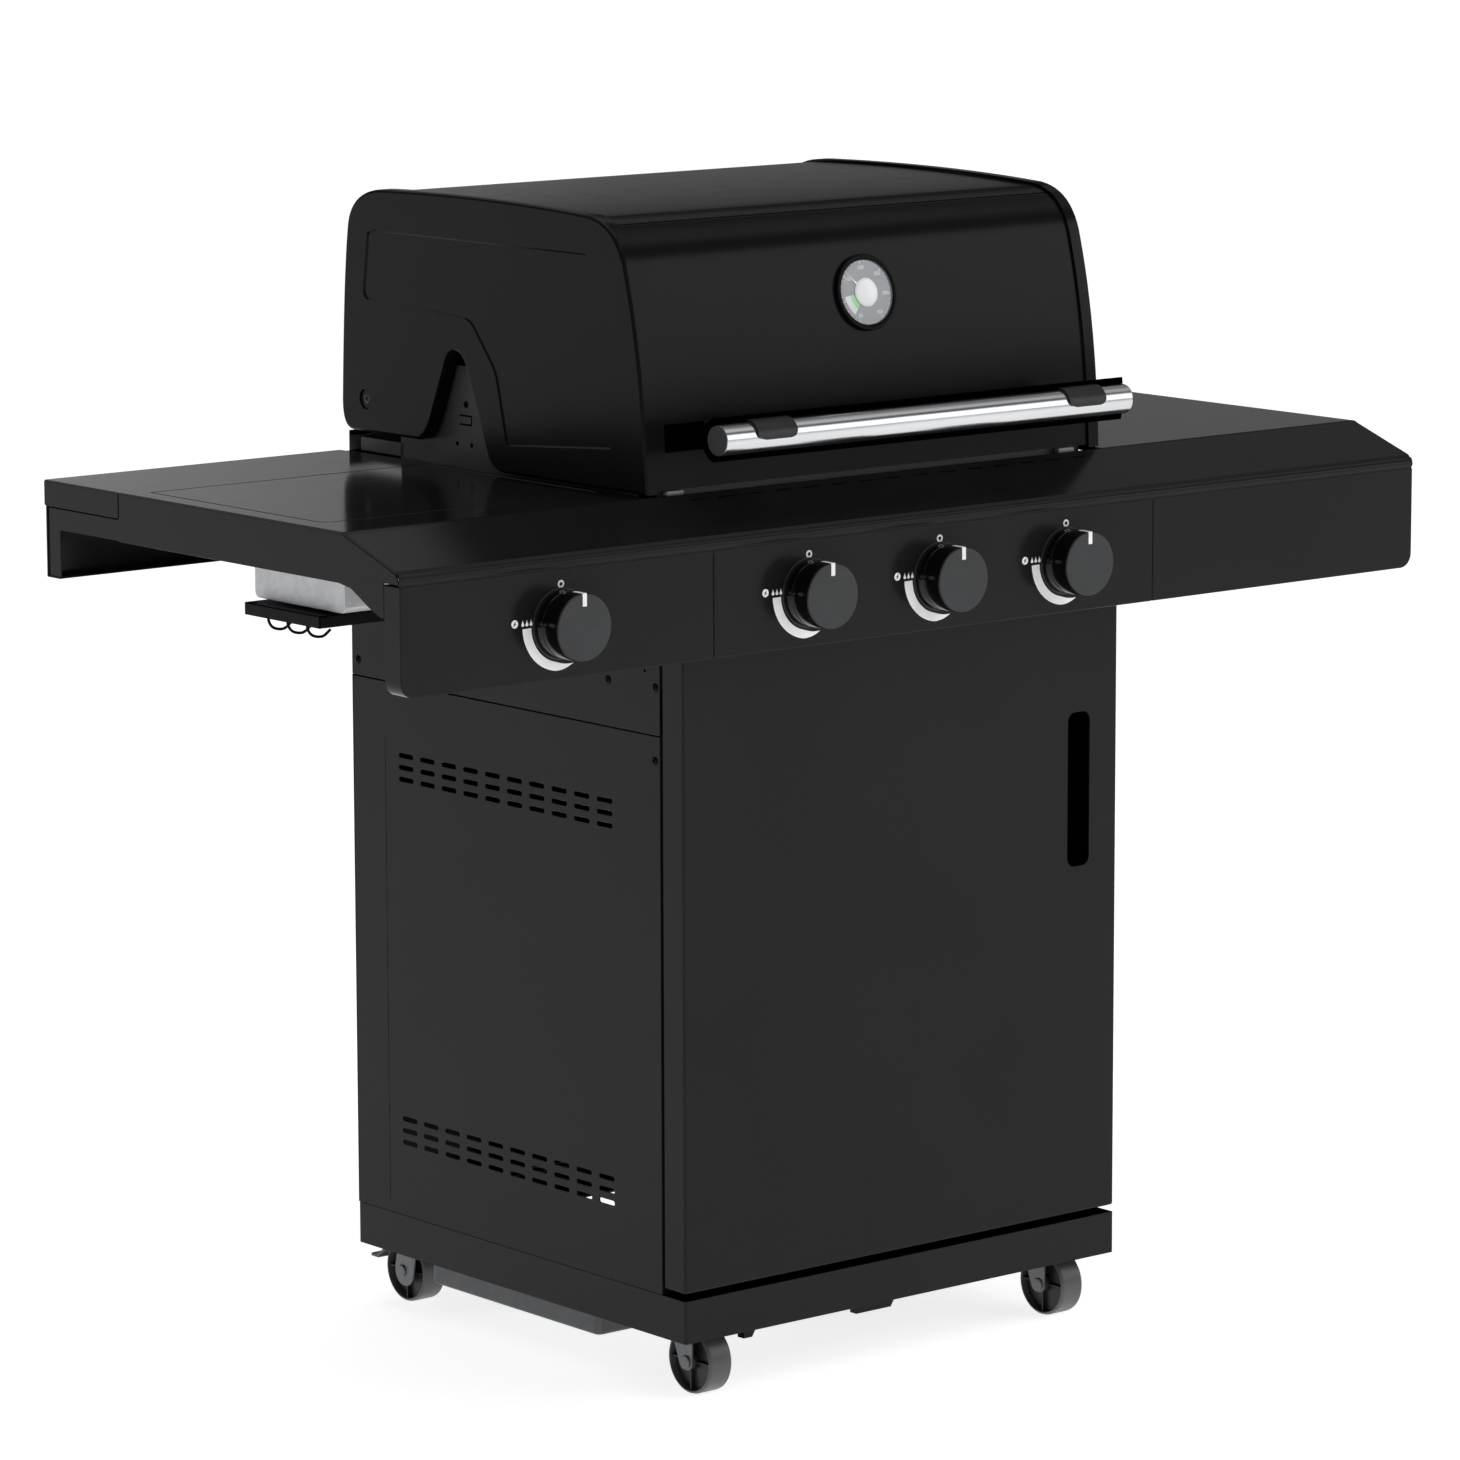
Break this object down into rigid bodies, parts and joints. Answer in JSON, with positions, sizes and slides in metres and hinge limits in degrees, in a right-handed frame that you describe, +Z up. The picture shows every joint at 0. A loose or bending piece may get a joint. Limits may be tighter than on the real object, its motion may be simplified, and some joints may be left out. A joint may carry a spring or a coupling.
{
  "type": "gas barbecue grill",
  "caption": "Cabinet gas barbecue: hinged hood with thermometer, side worktops with a covered side burner, push-and-turn knobs, a cupboard door and swivel casters.",
  "frame": {"origin": "middle of the bounding box on the ground under the wheels", "axes": "+X to the user's right along the worktops, -Y towards the user (door and knobs), +Z up"},
  "size_m": [1.24, 0.605, 1.1003],
  "materials": {
    "body_paint": "satin black powder coat",
    "table_paint": "smooth semi-gloss black",
    "lid_enamel": "satin black enamel",
    "stainless": "brushed stainless",
    "galvanised": "matt zinc-coated sheet",
    "firebox_steel": "matt grey high-temperature coat",
    "cast_iron": "enamelled cast iron",
    "black_plastic": "fine-grained black plastic",
    "wheel_plastic": "smooth hard tread",
    "brass": "turned brass",
    "white_print": "white print",
    "dial_grey": "printed grey dial",
    "clear_glass": "clear dial glass"
  },
  "bodies": {
    "cart": {"base_frame": "body_paint", "base_floor": "body_paint", "bottle_tray": "galvanised", "side_panel_left": "body_paint", "side_panel_right": "body_paint", "upper_side_left": "body_paint", "upper_side_right": "body_paint", "back_panel": "body_paint", "door_header": "body_paint", "front_ledge": "body_paint", "fascia_centre": "body_paint", "fascia_left": "body_paint", "fascia_right": "body_paint", "table_left": "table_paint", "table_right": "table_paint", "side_burner_pan": "lid_enamel", "side_burner_box": "galvanised", "side_burner": "brass", "pan_support": "cast_iron", "tool_hooks": "black_plastic", "firebox_walls": "firebox_steel", "firebox_floor": "firebox_steel", "burner_1": "stainless", "burner_2": "stainless", "burner_3": "stainless", "heat_tents": "firebox_steel", "grate_left": "cast_iron", "grate_right": "cast_iron", "warming_rack": "stainless", "gas_manifold": "brass"},
    "hood": {"lid_skin": "lid_enamel", "lid_cap_left": "lid_enamel", "lid_cap_right": "lid_enamel", "handle_tube": "stainless", "handle_mount_left": "black_plastic", "handle_mount_right": "black_plastic", "thermometer_case": "black_plastic"},
    "needle": {"thermometer_needle": "white_print"},
    "door": {"door_panel": "body_paint", "door_grip": "black_plastic"},
    "burner_cover": {"side_burner_cover": "table_paint"},
    "grease_drawer": {"grease_tray": "galvanised"},
    "stem_1": {"valve_stem_1": "stainless"},
    "stem_2": {"valve_stem_2": "stainless"},
    "stem_3": {"valve_stem_3": "stainless"},
    "stem_4": {"valve_stem_4": "stainless"},
    "dial_1": {"knob_1": "black_plastic"},
    "dial_2": {"knob_2": "black_plastic"},
    "dial_3": {"knob_3": "black_plastic"},
    "dial_4": {"knob_4": "black_plastic"},
    "fork_front_left": {"caster_fork_front_left": "galvanised"},
    "fork_front_right": {"caster_fork_front_right": "galvanised"},
    "fork_rear_left": {"caster_fork_rear_left": "galvanised"},
    "fork_rear_right": {"caster_fork_rear_right": "galvanised"},
    "wheel_front_left": {"caster_wheel_front_left": "wheel_plastic"},
    "wheel_front_right": {"caster_wheel_front_right": "wheel_plastic"},
    "wheel_rear_left": {"caster_wheel_rear_left": "wheel_plastic"},
    "wheel_rear_right": {"caster_wheel_rear_right": "wheel_plastic"},
    "brake_rear_left": {"brake_lever_rear_left": "firebox_steel"},
    "brake_rear_right": {"brake_lever_rear_right": "firebox_steel"}
  },
  "joints": [
    {"name": "hood_hinge", "type": "hinge", "parent": "cart", "child": "hood", "pos_m": [0, 0.242, 0.8966], "axis": [-1, 0, 0], "range_deg": [0, 85]},
    {"name": "thermometer_needle_turn", "type": "hinge", "parent": "hood", "child": "needle", "pos_m": [0, -0.162, 1.0105], "axis": [0, -0.9759, 0.2182], "range_deg": [-195, 105]},
    {"name": "door_hinge", "type": "hinge", "parent": "cart", "child": "door", "pos_m": [-0.2605, -0.1985, 0.4], "axis": [0, 0, -1], "range_deg": [0, 100]},
    {"name": "side_burner_cover_hinge", "type": "hinge", "parent": "cart", "child": "burner_cover", "pos_m": [-0.442, 0.141, 0.8433], "axis": [-1, 0, 0], "range_deg": [0, 100]},
    {"name": "grease_tray_slide", "type": "slide", "parent": "cart", "child": "grease_drawer", "axis": [0, 1, 0], "range_m": [0, 0.36]},
    {"name": "knob_1_push", "type": "slide", "parent": "cart", "child": "stem_1", "axis": [0, 1, 0], "range_m": [0, 0.003], "stiffness_N_per_m": 600},
    {"name": "knob_2_push", "type": "slide", "parent": "cart", "child": "stem_2", "axis": [0, 1, 0], "range_m": [0, 0.003], "stiffness_N_per_m": 600},
    {"name": "knob_3_push", "type": "slide", "parent": "cart", "child": "stem_3", "axis": [0, 1, 0], "range_m": [0, 0.003], "stiffness_N_per_m": 600},
    {"name": "knob_4_push", "type": "slide", "parent": "cart", "child": "stem_4", "axis": [0, 1, 0], "range_m": [0, 0.003], "stiffness_N_per_m": 600},
    {"name": "knob_1_turn", "type": "hinge", "parent": "stem_1", "child": "dial_1", "pos_m": [-0.444, -0.3, 0.756], "axis": [0, -1, 0], "range_deg": [0, 200]},
    {"name": "knob_2_turn", "type": "hinge", "parent": "stem_2", "child": "dial_2", "pos_m": [-0.158, -0.3, 0.756], "axis": [0, -1, 0], "range_deg": [0, 200]},
    {"name": "knob_3_turn", "type": "hinge", "parent": "stem_3", "child": "dial_3", "pos_m": [0, -0.3, 0.756], "axis": [0, -1, 0], "range_deg": [0, 200]},
    {"name": "knob_4_turn", "type": "hinge", "parent": "stem_4", "child": "dial_4", "pos_m": [0.158, -0.3, 0.756], "axis": [0, -1, 0], "range_deg": [0, 200]},
    {"name": "swivel_front_left", "type": "hinge", "parent": "cart", "child": "fork_front_left", "pos_m": [-0.221, -0.175, 0.07], "axis": [0, 0, 1], "continuous": true},
    {"name": "swivel_front_right", "type": "hinge", "parent": "cart", "child": "fork_front_right", "pos_m": [0.221, -0.175, 0.07], "axis": [0, 0, 1], "continuous": true},
    {"name": "swivel_rear_left", "type": "hinge", "parent": "cart", "child": "fork_rear_left", "pos_m": [-0.221, 0.246, 0.07], "axis": [0, 0, 1], "continuous": true},
    {"name": "swivel_rear_right", "type": "hinge", "parent": "cart", "child": "fork_rear_right", "pos_m": [0.221, 0.246, 0.07], "axis": [0, 0, 1], "continuous": true},
    {"name": "wheel_roll_front_left", "type": "hinge", "parent": "fork_front_left", "child": "wheel_front_left", "pos_m": [-0.221, -0.185, 0.0315], "axis": [1, 0, 0], "continuous": true},
    {"name": "wheel_roll_front_right", "type": "hinge", "parent": "fork_front_right", "child": "wheel_front_right", "pos_m": [0.221, -0.185, 0.0315], "axis": [1, 0, 0], "continuous": true},
    {"name": "wheel_roll_rear_left", "type": "hinge", "parent": "fork_rear_left", "child": "wheel_rear_left", "pos_m": [-0.221, 0.256, 0.0315], "axis": [1, 0, 0], "continuous": true},
    {"name": "wheel_roll_rear_right", "type": "hinge", "parent": "fork_rear_right", "child": "wheel_rear_right", "pos_m": [0.221, 0.256, 0.0315], "axis": [1, 0, 0], "continuous": true},
    {"name": "brake_press_rear_left", "type": "hinge", "parent": "fork_rear_left", "child": "brake_rear_left", "pos_m": [-0.221, 0.266, 0.053], "axis": [-1, 0, 0], "range_deg": [0, 10]},
    {"name": "brake_press_rear_right", "type": "hinge", "parent": "fork_rear_right", "child": "brake_rear_right", "pos_m": [0.221, 0.266, 0.053], "axis": [-1, 0, 0], "range_deg": [0, 10]}
  ]
}
